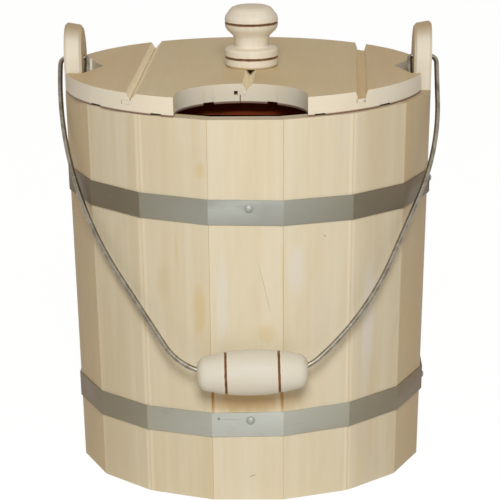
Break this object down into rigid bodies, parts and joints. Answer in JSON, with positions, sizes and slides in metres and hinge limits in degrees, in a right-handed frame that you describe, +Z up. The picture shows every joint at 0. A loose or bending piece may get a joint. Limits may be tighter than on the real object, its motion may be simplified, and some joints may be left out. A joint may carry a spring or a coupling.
{
  "type": "wooden bath bucket",
  "caption": "Coopered bath bucket with staves, steel hoops, a swinging wire handle with a turned grip, and a lid with a cut-out and a turned knob.",
  "frame": {"origin": "on the axis of the bucket, in the plane of its foot", "axes": "+Z up along the axis of the bucket, -Y towards the front where the handle rests and the lid is cut out, +X to the right"},
  "size_m": [0.3118, 0.328, 0.375],
  "materials": {
    "stave_wood": "bare, planed and sanded, warm cream",
    "bottom_wood": "bare, planed",
    "lid_wood": "bare, planed, darker tan on the show face",
    "batten_wood": "bare, planed",
    "knob_wood": "bare, turned, with burnt lines",
    "grip_wood": "bare, turned, with burnt lines",
    "hoop_steel": "dull zinc coat",
    "nail_steel": "dull zinc coat",
    "screw_steel": "zinc coat",
    "wire_steel": "dark drawn wire"
  },
  "bodies": {
    "bucket": {"stave_01": "stave_wood", "stave_02": "stave_wood", "stave_03": "stave_wood", "stave_04": "stave_wood", "ear_stave_right": "stave_wood", "stave_05": "stave_wood", "stave_06": "stave_wood", "stave_07": "stave_wood", "stave_08": "stave_wood", "stave_09": "stave_wood", "stave_10": "stave_wood", "stave_11": "stave_wood", "ear_stave_left": "stave_wood", "stave_12": "stave_wood", "stave_13": "stave_wood", "stave_14": "stave_wood", "bottom_board_left": "bottom_wood", "bottom_board_middle": "bottom_wood", "bottom_board_right": "bottom_wood", "upper_hoop": "hoop_steel", "lower_hoop": "hoop_steel", "hoop_rivets": "nail_steel", "hoop_nails": "nail_steel", "lid_board_far_left": "lid_wood", "lid_board_left": "lid_wood", "lid_board_right": "lid_wood", "lid_board_far_right": "lid_wood", "front_batten": "batten_wood", "back_batten": "batten_wood", "batten_screws": "screw_steel", "knob": "knob_wood", "knob_screw": "screw_steel"},
    "bail": {"bail": "wire_steel"},
    "grip": {"grip": "grip_wood"}
  },
  "joints": [
    {"name": "bail_swing", "type": "hinge", "parent": "bucket", "child": "bail", "pos_m": [0, 0, 0.333], "axis": [-1, 0, 0], "range_deg": [0, 287]},
    {"name": "grip_spin", "type": "hinge", "parent": "bail", "child": "grip", "pos_m": [0.0046, -0.16101, 0.1132], "axis": [0.9995, 0.0186, 0.0253], "continuous": true}
  ]
}
